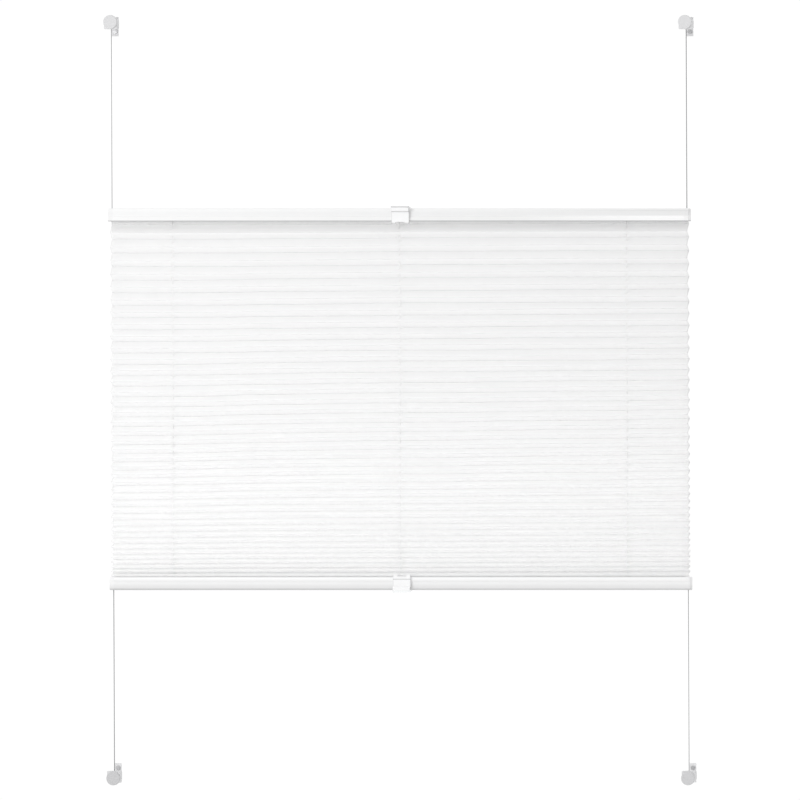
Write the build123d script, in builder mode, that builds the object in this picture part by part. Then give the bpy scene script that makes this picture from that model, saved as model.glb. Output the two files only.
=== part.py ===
"""Pleated blind for a window sash, free at both ends: two rails on taut cords between four clamp brackets."""
from math import sqrt
import os

from build123d import *

# The X axis runs along the rails, +Y points at the window and +Z is up. The plane Y = 0 is the front
# face of the sash, and Z = 0 is half way between the upper and the lower brackets. All sizes are in mm.

# rails, which are one profile used twice
rail_length = 1000.0
rail_height = 22.0
rail_depth = 20.0
rail_wall = 1.0
rail_face_setback = 0.8
lip_height = 8.0
outer_radius = 4.0
slot_width = 8.0
top_rail_underside = 300.0
bottom_rail_top = 297.0

# caps on the rail ends
cap_flange = 8.0
cap_plug = 12.0
cap_clearance = 0.15
cord_hole = 2.6
channel_size = 9.0

# the plane in which the cords hang, in front of the sash
cord_plane = -12.0
cord_diameter = 1.2
cord_pair_gap = 0.2
outer_cord_inset = 5.0
guide_inset = 109.0

# folded sheet, whose pleats hang wider at the top than at the bottom
sheet_inset = 3.0
sheet_tab_inset = 2.0
sheet_thickness = 0.3
pleats = 40
fold_face = 20.0
first_fold_drop = 4.8
last_fold_rise = 8.2
pitch_loss = 0.02155
pitch_regain = 0.000101
slot_entry = 0.6
sheet_hole = 4.4

# strips that hold the sheet's ends
strip_inset = 1.0
strip_width = 14.0
strip_thickness = 1.2
strip_lift = 3.0
strip_hole = 4.0

# cord guides
guide_flange_diameter = 8.0
guide_flange = 1.0
guide_barrel_diameter = 4.8
guide_hole = 2.8
guide_clearance = 0.1

# cord runs inside the rails
top_run_drop = 7.0
bottom_run_drop = 8.5
centre_run_drop = 5.0
run_spread = 3.0
centre_run_offset = 4.0
run_bend = 4.5
centre_bend = 3.5

# tension springs in the bottom rail
spring_x = 230.0
spring_coil_length = 34.0
spring_pitch = 1.5
spring_radius = 1.8
spring_wire = 0.6
spring_cup_diameter = 4.4
spring_cup = 3.0

# handles, a little to the right of the rails' middle
handle_offset = 4.2
handle_width = 30.0
handle_plate = 2.6
handle_gap = 0.3
handle_over = 4.0
handle_hook = 10.0
handle_hook_thickness = 1.6
handle_ledge = 4.0
handle_ledge_height = 8.0
handle_foot = 4.0

# tension shoes and their discs
disc_diameter = 23.4
disc_thickness = 3.0
disc_drop = 5.0
shoe_depth = 17.5
shoe_width = 22.0
shoe_height = 19.0
shoe_over = 1.5
shoe_chamfer = 5.0
shoe_channel_width = 2.6
shoe_channel_depth = 4.6
cord_anchor_drop = 4.0

# clamp brackets over the sash
bracket_width = 11.0
bracket_thickness = 2.5
sash_slot = 16.0
sash_height = 1280.0
bracket_front_drop = 16.0
bracket_leg_drop = 30.0

# clamp screws in the brackets' legs
screw_drop = 22.0
screw_diameter = 4.0
screw_length = 8.0
screw_pad_diameter = 7.0
screw_pad = 1.0
thread_clearance = 0.05

# sizes that follow from the ones above
body_length = rail_length - 2 * cap_flange
strip_length = body_length - 2 * strip_inset
sheet_width = rail_length - 2 * sheet_inset
sheet_tab_width = body_length - 2 * sheet_tab_inset
outer_cord_x = rail_length / 2 - outer_cord_inset
guide_x = rail_length / 2 - guide_inset
main_depth = rail_depth - 2 * rail_face_setback
run_chamber_width = main_depth - 2 * rail_wall
run_chamber_base = lip_height + rail_wall
run_chamber_height = rail_height - rail_wall - run_chamber_base
strip_chamber_width = rail_depth - 2 * rail_wall
strip_chamber_height = lip_height - rail_wall
cord_pair_step = cord_diameter + cord_pair_gap
pair_plane = cord_plane + cord_pair_step
left_run_plane = cord_plane - run_spread
right_run_plane = cord_plane + run_spread
top_run_height = rail_height - top_run_drop
bottom_run_height = rail_height - bottom_run_drop
centre_run_height = rail_height - centre_run_drop
bracket_seat_z = sash_height / 2
bracket_front_z = bracket_seat_z - bracket_front_drop
bracket_leg_z = bracket_seat_z - bracket_leg_drop
screw_z = bracket_seat_z - screw_drop
shoe_front = -bracket_thickness - shoe_depth
shoe_outer_z = bracket_seat_z + shoe_over
shoe_inner_z = shoe_outer_z - shoe_height
disc_z = bracket_seat_z - disc_drop
cord_anchor_z = bracket_seat_z - cord_anchor_drop
leg_front = sash_slot
leg_back = sash_slot + bracket_thickness
rail_front = cord_plane - rail_depth / 2
spring_length = spring_coil_length + 2 * spring_cup

ends = (("top", 1, top_rail_underside), ("bottom", -1, bottom_rail_top))
hands = (("left", -1), ("right", 1))

os.makedirs("parts", exist_ok=True)


# ---------------------------------------------------------------- rails, caps, strips and guides
for end, up, base in ends:

    # the outline is a round-cornered box with a slightly deeper lip on the sheet's side
    with BuildPart() as rail:
        with BuildSketch(Plane.YZ) as section:
            with Locations((cord_plane, up * (base + rail_height / 2))):
                RectangleRounded(main_depth, rail_height, outer_radius)
            with Locations((cord_plane, up * (base + lip_height / 2))):
                RectangleRounded(rail_depth, lip_height, 0.9)
            with Locations((cord_plane, up * (base + run_chamber_base + run_chamber_height / 2))):
                RectangleRounded(run_chamber_width, run_chamber_height, outer_radius - rail_wall, mode=Mode.SUBTRACT)
            with Locations((cord_plane, up * (base + rail_wall + strip_chamber_height / 2))):
                Rectangle(strip_chamber_width, strip_chamber_height, mode=Mode.SUBTRACT)
            with Locations((cord_plane, up * (base + rail_wall / 2))):
                Rectangle(slot_width, rail_wall, mode=Mode.SUBTRACT)
        extrude(amount=body_length / 2, both=True)
        # the guides sit in the web between the two chambers
        with BuildSketch(Plane.XY.offset(up * (base + lip_height + rail_wall / 2))):
            with Locations((-guide_x, cord_plane), (0, cord_plane), (guide_x, cord_plane)):
                Circle(guide_barrel_diameter / 2 + guide_clearance)
        extrude(amount=rail_wall, both=True, mode=Mode.SUBTRACT)
    rail.part.label = f"{end}_rail"
    export_step(rail.part, f"parts/{end}_rail.step")

    for hand, side in hands:
        with BuildPart() as cap:
            with BuildSketch(Plane.YZ.offset(side * (body_length / 2 + cap_flange / 2))):
                with Locations((cord_plane, up * (base + rail_height / 2))):
                    RectangleRounded(main_depth, rail_height, outer_radius)
                with Locations((cord_plane, up * (base + lip_height / 2))):
                    RectangleRounded(rail_depth, lip_height, 0.9)
            extrude(amount=cap_flange / 2, both=True)
            fillet(cap.faces().sort_by(Axis.X)[-1 if side > 0 else 0].edges(), 0.6)
            with BuildSketch(Plane.YZ.offset(side * (body_length / 2 - cap_plug / 2))):
                with Locations((cord_plane, up * (base + run_chamber_base + run_chamber_height / 2))):
                    RectangleRounded(
                        run_chamber_width - 2 * cap_clearance,
                        run_chamber_height - 2 * cap_clearance,
                        outer_radius - rail_wall - cap_clearance,
                    )
            extrude(amount=cap_plug / 2, both=True)
            # the cords come in through the outer wall and turn along the rail in an open channel
            channel_start = body_length / 2 - cap_plug
            channel_end = outer_cord_x + cord_hole / 2
            with BuildSketch(Plane.YZ.offset(side * (channel_start + channel_end) / 2)):
                with Locations((cord_plane + cord_pair_step / 2, up * (base + rail_height - 2 - channel_size / 2))):
                    RectangleRounded(channel_size, channel_size, 2.0)
            extrude(amount=(channel_end - channel_start) / 2, both=True, mode=Mode.SUBTRACT)
            with BuildSketch(Plane.XY.offset(up * (base + rail_height))):
                with Locations((side * outer_cord_x, cord_plane + cord_pair_step / 2)):
                    SlotOverall(cord_hole + cord_pair_step, cord_hole, rotation=90)
            extrude(amount=channel_size / 2, both=True, mode=Mode.SUBTRACT)
        cap.part.label = f"{end}_{hand}_end_cap"
        export_step(cap.part, f"parts/{end}_{hand}_end_cap.step")

    with BuildPart() as strip:
        with BuildSketch(Plane.XY.offset(up * (base + strip_lift + strip_thickness / 2))):
            with Locations((0, cord_plane)):
                RectangleRounded(strip_length, strip_width, 2.0)
            with Locations((-guide_x, cord_plane), (0, cord_plane), (guide_x, cord_plane)):
                Circle(strip_hole / 2, mode=Mode.SUBTRACT)
        extrude(amount=strip_thickness / 2, both=True)
    strip.part.label = f"{end}_fabric_strip"
    export_step(strip.part, f"parts/{end}_fabric_strip.step")

    for place, guide_at in (("left", -guide_x), ("centre", 0.0), ("right", guide_x)):
        with BuildPart() as guide:
            with BuildSketch(Plane.XY.offset(up * (base + run_chamber_base + guide_flange / 2))):
                with Locations((guide_at, cord_plane)):
                    Circle(guide_flange_diameter / 2)
            extrude(amount=guide_flange / 2, both=True)
            with BuildSketch(Plane.XY.offset(up * (base + lip_height + rail_wall / 2 - 0.4))):
                with Locations((guide_at, cord_plane)):
                    Circle(guide_barrel_diameter / 2)
            extrude(amount=rail_wall / 2 + 0.4, both=True)
            with BuildSketch(Plane.XY.offset(up * (base + run_chamber_base))):
                with Locations((guide_at, cord_plane)):
                    Circle(guide_hole / 2)
            extrude(amount=4.0, both=True, mode=Mode.SUBTRACT)
            # the rims that the cord runs over are rounded
            fillet(guide.edges().filter_by(GeomType.CIRCLE).sort_by(SortBy.RADIUS)[0:2], 0.4)
        guide.part.label = f"{end}_{place}_cord_guide"
        export_step(guide.part, f"parts/{end}_{place}_cord_guide.step")


# ---------------------------------------------------------------- folded sheet
# Fold by fold from the top rail down: the sheet goes to the back, then to the front, and so on. A face
# keeps its length, so the folds stand further out where the pleats lie closer together.
hang = [1 - pitch_loss * pleat + pitch_regain * pleat**2 for pleat in range(pleats)]
fold_run = top_rail_underside + bottom_rail_top - first_fold_drop - last_fold_rise
widest_pitch = fold_run / sum(hang[:-1])
front_side = [(cord_plane - sheet_thickness / 2, top_rail_underside - slot_entry)]
back_side = [(cord_plane + sheet_thickness / 2, top_rail_underside - slot_entry)]
fold_z = top_rail_underside - first_fold_drop
for share in hang:
    pitch = widest_pitch * share
    reach = sqrt(fold_face**2 - (pitch / 2) ** 2) / 2
    # the inner corner of a fold stands back by the mitre of two faces of the sheet's thickness
    mitre = sheet_thickness * fold_face / (pitch / 2)
    front_side.append((cord_plane + reach - mitre, fold_z))
    back_side.append((cord_plane + reach, fold_z))
    front_side.append((cord_plane - reach, fold_z - pitch / 2))
    back_side.append((cord_plane - reach + mitre, fold_z - pitch / 2))
    fold_z -= pitch
front_side.append((cord_plane - sheet_thickness / 2, slot_entry - bottom_rail_top))
back_side.append((cord_plane + sheet_thickness / 2, slot_entry - bottom_rail_top))

with BuildPart() as pleated_fabric:
    with BuildSketch(Plane.YZ):
        Polygon(*front_side, *reversed(back_side), align=None)
    extrude(amount=sheet_width / 2, both=True)
    # a straight tab at each end goes through the rail's slot up to the strip
    with BuildSketch(Plane.YZ):
        with Locations((cord_plane, top_rail_underside + (strip_lift - slot_entry) / 2)):
            Rectangle(sheet_thickness, strip_lift + slot_entry)
        with Locations((cord_plane, -bottom_rail_top - (strip_lift - slot_entry) / 2)):
            Rectangle(sheet_thickness, strip_lift + slot_entry)
    extrude(amount=sheet_tab_width / 2, both=True)
    with BuildSketch(Plane.XY.offset(-bottom_rail_top - lip_height)):
        with Locations((-guide_x, cord_plane), (0, cord_plane), (guide_x, cord_plane)):
            Circle(sheet_hole / 2)
    extrude(amount=bottom_rail_top + top_rail_underside + 2 * lip_height, mode=Mode.SUBTRACT)
pleated_fabric.part.label = "pleated_fabric"
export_step(pleated_fabric.part, "parts/pleated_fabric.step")


# ---------------------------------------------------------------- handles
for end, up, base in ends:
    plate_back = rail_front - handle_gap
    plate_front = plate_back - handle_plate
    outer_z = base + rail_height + handle_over
    hook_z = base + rail_height + handle_gap
    with BuildPart() as handle:
        with BuildSketch(Plane.YZ.offset(handle_offset)):
            with BuildLine():
                Polyline(
                    (plate_front, up * (base - handle_foot)),
                    (plate_front, up * (outer_z - handle_ledge_height - 2.0)),
                    (plate_front - handle_ledge, up * (outer_z - handle_ledge_height)),
                    (plate_front - handle_ledge, up * (outer_z - 1.0)),
                    (plate_front - handle_ledge + 1.0, up * outer_z),
                    (plate_back - 0.5, up * outer_z),
                    (plate_back, up * (hook_z + handle_hook_thickness)),
                    (plate_back + handle_hook, up * (hook_z + handle_hook_thickness)),
                    (plate_back + handle_hook, up * hook_z),
                    (plate_back, up * hook_z),
                    (plate_back, up * (base - handle_gap)),
                    (plate_back + 1.5, up * (base - handle_gap)),
                    (plate_back + 1.5, up * (base - handle_gap - 1.2)),
                    (plate_back, up * (base - handle_foot)),
                    close=True,
                )
            make_face()
        extrude(amount=handle_width / 2, both=True)
        # a window between the two feet
        with BuildSketch(Plane.XZ.offset(-plate_back - 2.0)):
            with Locations((handle_offset, up * (base - handle_foot / 2 - 0.5))):
                Rectangle(handle_width - 14.0, handle_foot - 1.0)
        extrude(amount=8.0, mode=Mode.SUBTRACT)
    handle.part.label = f"{end}_handle"
    export_step(handle.part, f"parts/{end}_handle.step")


# ---------------------------------------------------------------- brackets, shoes and discs
for end, up, base in ends:
    for hand, side in hands:
        corner_x = side * outer_cord_x

        with BuildPart() as bracket:
            with BuildSketch(Plane.YZ.offset(corner_x)):
                with BuildLine():
                    Polyline(
                        (-bracket_thickness, up * bracket_front_z),
                        (-bracket_thickness, up * (bracket_seat_z + bracket_thickness)),
                        (leg_back, up * (bracket_seat_z + bracket_thickness)),
                        (leg_back, up * bracket_leg_z),
                        (leg_front, up * bracket_leg_z),
                        (leg_front, up * bracket_seat_z),
                        (0, up * bracket_seat_z),
                        (0, up * bracket_front_z),
                        close=True,
                    )
                make_face()
            extrude(amount=bracket_width / 2, both=True)
            with BuildSketch(Plane.XZ.offset(-leg_front - bracket_thickness / 2)):
                with Locations((corner_x, up * screw_z)):
                    Circle(screw_diameter / 2 + thread_clearance)
            extrude(amount=bracket_thickness, both=True, mode=Mode.SUBTRACT)
        bracket.part.label = f"{end}_{hand}_clamp_bracket"
        export_step(bracket.part, f"parts/{end}_{hand}_clamp_bracket.step")

        with BuildPart() as shoe:
            with BuildSketch(Plane.XZ.offset(bracket_thickness)):
                with Locations((corner_x, up * (shoe_inner_z + shoe_outer_z) / 2)):
                    Rectangle(shoe_width, shoe_outer_z - shoe_inner_z)
            extrude(amount=-shoe_front - bracket_thickness)
            outer_face = shoe.faces().sort_by(Axis.Z)[-1 if up > 0 else 0]
            chamfer(outer_face.edges().filter_by(Axis.Y), shoe_chamfer)
            fillet(shoe.edges().filter_by(Axis.Y).group_by(Axis.Z)[0 if up > 0 else -1], 2.0)
            # the cords go in from the blind's side and end in a blind channel behind the disc
            with BuildSketch(Plane.XY.offset(up * cord_anchor_z)):
                with Locations((corner_x, cord_plane + cord_pair_step / 2)):
                    Rectangle(shoe_channel_width, shoe_channel_depth)
            extrude(amount=-up * shoe_height, mode=Mode.SUBTRACT)
        shoe.part.label = f"{end}_{hand}_tension_shoe"
        export_step(shoe.part, f"parts/{end}_{hand}_tension_shoe.step")

        with BuildPart() as disc:
            with BuildSketch(Plane.XZ.offset(-shoe_front)):
                with Locations((corner_x, up * disc_z)):
                    Circle(disc_diameter / 2)
            extrude(amount=disc_thickness)
            fillet(disc.faces().sort_by(Axis.Y)[0].edges(), 0.9)
        disc.part.label = f"{end}_{hand}_cover_disc"
        export_step(disc.part, f"parts/{end}_{hand}_cover_disc.step")

# one clamp screw with its pad in each bracket's leg
with BuildPart() as clamp_screws:
    for up in (1, -1):
        for side in (-1, 1):
            with BuildSketch(Plane.XZ.offset(-leg_front + screw_pad)):
                with Locations((side * outer_cord_x, up * screw_z)):
                    Circle(screw_diameter / 2)
            extrude(amount=-screw_length)
            with BuildSketch(Plane.XZ.offset(-leg_front + screw_pad)):
                with Locations((side * outer_cord_x, up * screw_z)):
                    Circle(screw_pad_diameter / 2)
            extrude(amount=screw_pad)
clamp_screws.part.label = "clamp_screws"
export_step(clamp_screws.part, "parts/clamp_screws.step")


# ---------------------------------------------------------------- tension springs
# A spring stands in the middle of each outer cord, with a crimped cup at both ends for the cord.
bottom_run_z = -(bottom_rail_top + bottom_run_height)
for hand, side, run_plane in (("left", -1, left_run_plane), ("right", 1, right_run_plane)):
    coil_start = side * spring_x - spring_coil_length / 2
    with BuildPart() as spring:
        with BuildLine() as coil:
            Helix(
                spring_pitch,
                spring_coil_length,
                spring_radius,
                center=(coil_start, run_plane, bottom_run_z),
                direction=(1, 0, 0),
            )
        with BuildSketch(Plane(coil.line @ 0, z_dir=coil.line % 0)):
            Circle(spring_wire / 2)
        sweep(path=coil.line)
        for cup_start in (coil_start - spring_cup, coil_start + spring_coil_length):
            with BuildSketch(Plane.YZ.offset(cup_start)):
                with Locations((run_plane, bottom_run_z)):
                    Circle(spring_cup_diameter / 2)
            extrude(amount=spring_cup)
    spring.part.label = f"{hand}_tension_spring"
    export_step(spring.part, f"parts/{hand}_tension_spring.step")


# ---------------------------------------------------------------- cords
# Each cord is one taut run from a shoe through the rails and the sheet to another shoe, so the rails
# can stand at any height. The outer cords cross inside the bottom rail, on either side of the middle.
top_run_z = top_rail_underside + top_run_height
centre_run_z = -(bottom_rail_top + centre_run_height)
for hand, side, run_plane in (("left", -1, left_run_plane), ("right", 1, right_run_plane)):
    near_cup = side * spring_x + side * spring_length / 2
    far_cup = side * spring_x - side * spring_length / 2

    with BuildPart() as upper_cord:
        with BuildLine() as upper_route:
            FilletPolyline(
                (side * outer_cord_x, cord_plane, cord_anchor_z),
                (side * outer_cord_x, cord_plane, top_run_z),
                (side * guide_x, cord_plane, top_run_z),
                (side * guide_x, cord_plane, bottom_run_z),
                (side * (guide_x - 46.0), run_plane, bottom_run_z),
                (near_cup, run_plane, bottom_run_z),
                radius=run_bend,
            )
        with BuildSketch(Plane(upper_route.line @ 0, z_dir=upper_route.line % 0)):
            Circle(cord_diameter / 2)
        sweep(path=upper_route.line)
    upper_cord.part.label = f"{hand}_upper_cord"
    export_step(upper_cord.part, f"parts/{hand}_upper_cord.step")

    with BuildPart() as lower_cord:
        with BuildLine() as lower_route:
            FilletPolyline(
                (far_cup, run_plane, bottom_run_z),
                (-side * (guide_x + 49.0), run_plane, bottom_run_z),
                (-side * outer_cord_x, cord_plane, bottom_run_z),
                (-side * outer_cord_x, cord_plane, -cord_anchor_z),
                radius=run_bend,
            )
        with BuildSketch(Plane(lower_route.line @ 0, z_dir=lower_route.line % 0)):
            Circle(cord_diameter / 2)
        sweep(path=lower_route.line)
    lower_cord.part.label = f"{hand}_lower_cord"
    export_step(lower_cord.part, f"parts/{hand}_lower_cord.step")

# the centre cord lies behind the right cord at the shoes
with BuildPart() as centre_cord:
    with BuildLine() as centre_route:
        FilletPolyline(
            (outer_cord_x, pair_plane, cord_anchor_z),
            (outer_cord_x, pair_plane, top_run_z),
            (outer_cord_x - 55.0, cord_plane + centre_run_offset, top_run_z),
            (46.0, cord_plane + centre_run_offset, top_run_z),
            (0, cord_plane, top_run_z),
            (0, cord_plane, centre_run_z),
            (-guide_x - 49.0, cord_plane, centre_run_z),
            (-outer_cord_x, pair_plane, centre_run_z),
            (-outer_cord_x, pair_plane, -cord_anchor_z),
            radius=centre_bend,
        )
    with BuildSketch(Plane(centre_route.line @ 0, z_dir=centre_route.line % 0)):
        Circle(cord_diameter / 2)
    sweep(path=centre_route.line)
centre_cord.part.label = "centre_cord"
export_step(centre_cord.part, "parts/centre_cord.step")
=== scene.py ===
"""Looks of a pleated window blind: folded sheet, rails, taut cords, clear handles and clamp fittings."""

import logging
import math
from dataclasses import dataclass, field
from enum import Enum
from typing import Any, Sequence

import bpy
import numpy as np
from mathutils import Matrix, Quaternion, Vector


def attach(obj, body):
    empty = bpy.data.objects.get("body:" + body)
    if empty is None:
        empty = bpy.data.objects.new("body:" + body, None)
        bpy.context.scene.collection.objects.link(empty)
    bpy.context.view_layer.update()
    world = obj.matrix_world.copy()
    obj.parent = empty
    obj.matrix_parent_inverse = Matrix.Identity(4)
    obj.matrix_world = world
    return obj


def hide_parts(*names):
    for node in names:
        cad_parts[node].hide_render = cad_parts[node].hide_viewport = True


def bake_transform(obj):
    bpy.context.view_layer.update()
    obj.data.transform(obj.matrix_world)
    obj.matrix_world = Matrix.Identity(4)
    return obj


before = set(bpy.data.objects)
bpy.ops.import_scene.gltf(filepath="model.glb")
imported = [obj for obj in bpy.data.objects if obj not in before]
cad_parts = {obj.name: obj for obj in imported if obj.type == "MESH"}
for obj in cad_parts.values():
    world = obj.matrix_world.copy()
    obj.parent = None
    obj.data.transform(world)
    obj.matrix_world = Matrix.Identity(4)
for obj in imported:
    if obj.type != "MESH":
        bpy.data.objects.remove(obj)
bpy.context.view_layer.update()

log = logging.getLogger("blind")
logging.basicConfig(level=logging.INFO, format="%(message)s")

MM = 0.001
BLACK = (0.0, 0.0, 0.0)
WHITE = (1.0, 1.0, 1.0)
Stops = tuple[tuple[float, float], ...]
Point = tuple[float, float, float]


class Body(Enum):
    """The CAD bodies that pieces ride on."""

    WINDOW = "window_side"
    TOP = "top_rail_set"
    BOTTOM = "bottom_rail_set"


# ------------------------------------------------------------------ shader maths


class Nodes:
    """One material's node tree, with short calls that add nodes."""

    def __init__(self, name: str) -> None:
        """Makes an empty material.

        Args:
            name: the material's name.
        """
        self.material = bpy.data.materials.new(name)
        self.material.use_nodes = True
        # What glows here is weak or very wide: rays that meet it by chance give less noise than aimed ones.
        self.material.cycles.emission_sampling = "NONE"
        self.tree = self.material.node_tree
        self.tree.nodes.clear()

    def add(self, kind: str, settings: dict[str, Any] | None = None, **sockets: Any) -> "bpy.types.Node":
        """Adds one node.

        Args:
            kind: the node's type, such as ShaderNodeMath.
            settings: properties of the node, set before its sockets; "stops" are a ramp's stops.
            sockets: values or links by socket name, with _ for a space, or i0, i1 ... for the number.

        Returns:
            The new node.
        """
        node = self.tree.nodes.new(kind)
        for key, value in (settings or {}).items():
            if key == "stops":
                ramp = node.color_ramp
                for place, (position, tone) in enumerate(value):
                    stop = ramp.elements[place] if place < 2 else ramp.elements.new(position)
                    stop.position = position
                    stop.color = (tone, tone, tone, 1.0)
            else:
                setattr(node, key, value)
        for key, value in sockets.items():
            number = key[1:].isdigit() and key[0] == "i"
            target = node.inputs[int(key[1:])] if number else node.inputs[key.replace("_", " ")]
            self.feed(target, value)
        return node

    def coordinates(self, kind: str) -> "bpy.types.NodeSocket":
        """The Object or UV coordinates of a place on the surface."""
        return self.add("ShaderNodeTexCoord").outputs[kind]

    def noise(self, place: "bpy.types.NodeSocket", scale: float, detail: float, **more: float) -> "Field":
        """A cloudy pattern from 0 to 1 over the given coordinates."""
        return Field(self, self.add("ShaderNodeTexNoise", Vector=place, Scale=scale, Detail=detail, **more).outputs[0])

    def attribute(self, name: str) -> "Field":
        """A number that the mesh carries at its points."""
        return Field(self, self.add("ShaderNodeAttribute", {"attribute_name": name}).outputs["Fac"])

    def axes(self, place: "bpy.types.NodeSocket") -> tuple["Field", "Field", "Field"]:
        """The three numbers of a place."""
        x, y, z = (Field(self, output) for output in self.add("ShaderNodeSeparateXYZ", Vector=place).outputs)
        return x, y, z

    def glow(self, shader: "bpy.types.Node", share: "Field", tone: Sequence[float]) -> None:
        """Lets a surface give off a little painted light.

        Args:
            shader: the surface's shader.
            share: how much of the tone it gives off at each place.
            tone: the light's colour at full strength.
        """
        self.feed(shader.inputs["Emission Color"], mix_tones(self, share, BLACK, tone))
        shader.inputs["Emission Strength"].default_value = 1.0

    def blended(self, share: Any, first: "bpy.types.Node", second: "bpy.types.Node") -> "bpy.types.Node":
        """Mixes two shaders.

        Args:
            share: the second shader's share, a number or a field.
            first: one shader.
            second: the other shader.

        Returns:
            The mixing node.
        """
        return self.add("ShaderNodeMixShader", Fac=share, i1=first.outputs[0], i2=second.outputs[0])

    def finish(self, shader: "bpy.types.Node") -> bpy.types.Material:
        """Makes a shader the material's surface, and returns the material."""
        self.add("ShaderNodeOutputMaterial", Surface=shader.outputs[0])
        return self.material

    def feed(self, target: "bpy.types.NodeSocket", value: Any) -> None:
        """Links or sets one input.

        Args:
            target: the input socket.
            value: a wrapped socket, a plain socket or a constant.
        """
        if isinstance(value, Field):
            self.tree.links.new(value.socket, target)
        elif isinstance(value, bpy.types.NodeSocket):
            self.tree.links.new(value, target)
        else:
            target.default_value = value


class Field:
    """A number that varies over a surface, which can be used in Python expressions."""

    def __init__(self, nodes: Nodes, socket: "bpy.types.NodeSocket") -> None:
        """Wraps an output socket of a node tree."""
        self.nodes = nodes
        self.socket = socket

    def _math(self, operation: str, *values: Any, clamp: bool = False) -> "Field":
        """Adds a Math node.

        Args:
            operation: what the node does.
            values: fields and numbers, in the order of its inputs.
            clamp: whether the result is kept from 0 to 1.

        Returns:
            The node's result.
        """
        names = {f"i{place}": value for place, value in enumerate(values)}
        node = self.nodes.add("ShaderNodeMath", {"operation": operation, "use_clamp": clamp}, **names)
        return Field(self.nodes, node.outputs[0])

    def __add__(self, other: Any) -> "Field":
        """Sum."""
        return self._math("ADD", self, other)

    __radd__ = __add__

    def __sub__(self, other: Any) -> "Field":
        """Difference."""
        return self._math("SUBTRACT", self, other)

    def __rsub__(self, other: Any) -> "Field":
        """Difference with this field as the second term."""
        return self._math("SUBTRACT", other, self)

    def __mul__(self, other: Any) -> "Field":
        """Product."""
        return self._math("MULTIPLY", self, other)

    __rmul__ = __mul__

    def clamped(self) -> "Field":
        """The field kept from 0 to 1."""
        return self._math("ADD", self, 0.0, clamp=True)

    def power(self, exponent: float) -> "Field":
        """The field raised to a power."""
        return self._math("POWER", self, exponent)

    def magnitude(self) -> "Field":
        """The field without its sign."""
        return self._math("ABSOLUTE", self)

    def wave(self) -> "Field":
        """The sine of the field, in radians."""
        return self._math("SINE", self)


def mix_tones(nodes: Nodes, factor: Field, first: Any, second: Any) -> "bpy.types.NodeSocket":
    """Mixes two colours by a field.

    Args:
        nodes: the material's nodes.
        factor: 0 gives the first colour and 1 the second.
        first: red, green and blue, or a colour's socket.
        second: the same.

    Returns:
        The mixed colour's socket.
    """
    node = nodes.add("ShaderNodeMix", {"data_type": "RGBA"})
    nodes.feed(node.inputs[0], factor)
    for place, tone in ((6, first), (7, second)):
        nodes.feed(node.inputs[place], tone if isinstance(tone, bpy.types.NodeSocket) else (*tone, 1.0))
    return node.outputs[2]


# ------------------------------------------------------------------ finishes


@dataclass(frozen=True)
class Moulded:
    """A moulded or coated finish with a fine surface grain.

    Attributes:
        name: the material's name.
        tone: base colour.
        roughness: mean roughness.
        grain_mm: size of the surface grain.
        grain_depth_mm: height of the grain.
        metallic: how metallic it is.
        cloud_low: the share of the tone in the darkest clouds.
        cloud_high: the share of the tone in the palest clouds.
        rough_cloud: how much the clouds change the roughness.
        rough_grain: how much the grain changes the roughness.
    """

    name: str
    tone: tuple[float, float, float]
    roughness: float = 0.45
    grain_mm: float = 0.35
    grain_depth_mm: float = 0.01
    metallic: float = 0.0
    cloud_low: float = 0.975
    cloud_high: float = 1.012
    rough_cloud: float = 0.12
    rough_grain: float = 0.06

    def shade(self, nodes: Nodes, place: "bpy.types.NodeSocket") -> Field | None:
        """Painted shade: the share of the tone that each place keeps; here all of it, so none is given."""
        return None

    def painted_highlight(self, nodes: Nodes, place: "bpy.types.NodeSocket") -> Field | None:
        """Painted highlight, given off as a glow: here none."""
        return None

    def build(self) -> bpy.types.Material:
        """Builds the material: cloudy tone and roughness, and a fine grain in the bump.

        Returns:
            The material.
        """
        nodes = Nodes(self.name)
        place = nodes.coordinates("Object")
        cloud = nodes.noise(place, 38.0, 4.0, Roughness=0.6)
        grain = nodes.noise(place, 1.0 / (self.grain_mm * MM), 2.0)
        darkest = tuple(c * self.cloud_low for c in self.tone)
        palest = tuple(min(1.0, c * self.cloud_high) for c in self.tone)
        bump = nodes.add("ShaderNodeBump", Strength=0.35, Distance=self.grain_depth_mm * MM, Height=grain)
        tone = mix_tones(nodes, cloud, darkest, palest)
        # Painted shade: a subclass may darken the tone over the height and towards the left.
        shade = self.shade(nodes, place)
        if shade is not None:
            tone = mix_tones(nodes, shade, BLACK, tone)
        # Both noises lie round 0.5, so the mean of their part is taken off again.
        rough = cloud * self.rough_cloud + grain * self.rough_grain
        rough = rough + (self.roughness - (self.rough_cloud + self.rough_grain) / 2)
        shader = nodes.add(
            "ShaderNodeBsdfPrincipled",
            Base_Color=tone,
            Roughness=rough.clamped(),
            Metallic=self.metallic,
            Normal=bump.outputs[0],
        )
        # Painted highlight: a subclass may make a lip give off a glow.
        painted_highlight = self.painted_highlight(nodes, place)
        if painted_highlight is not None:
            nodes.glow(shader, painted_highlight, WHITE)
        return nodes.finish(shader)


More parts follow.
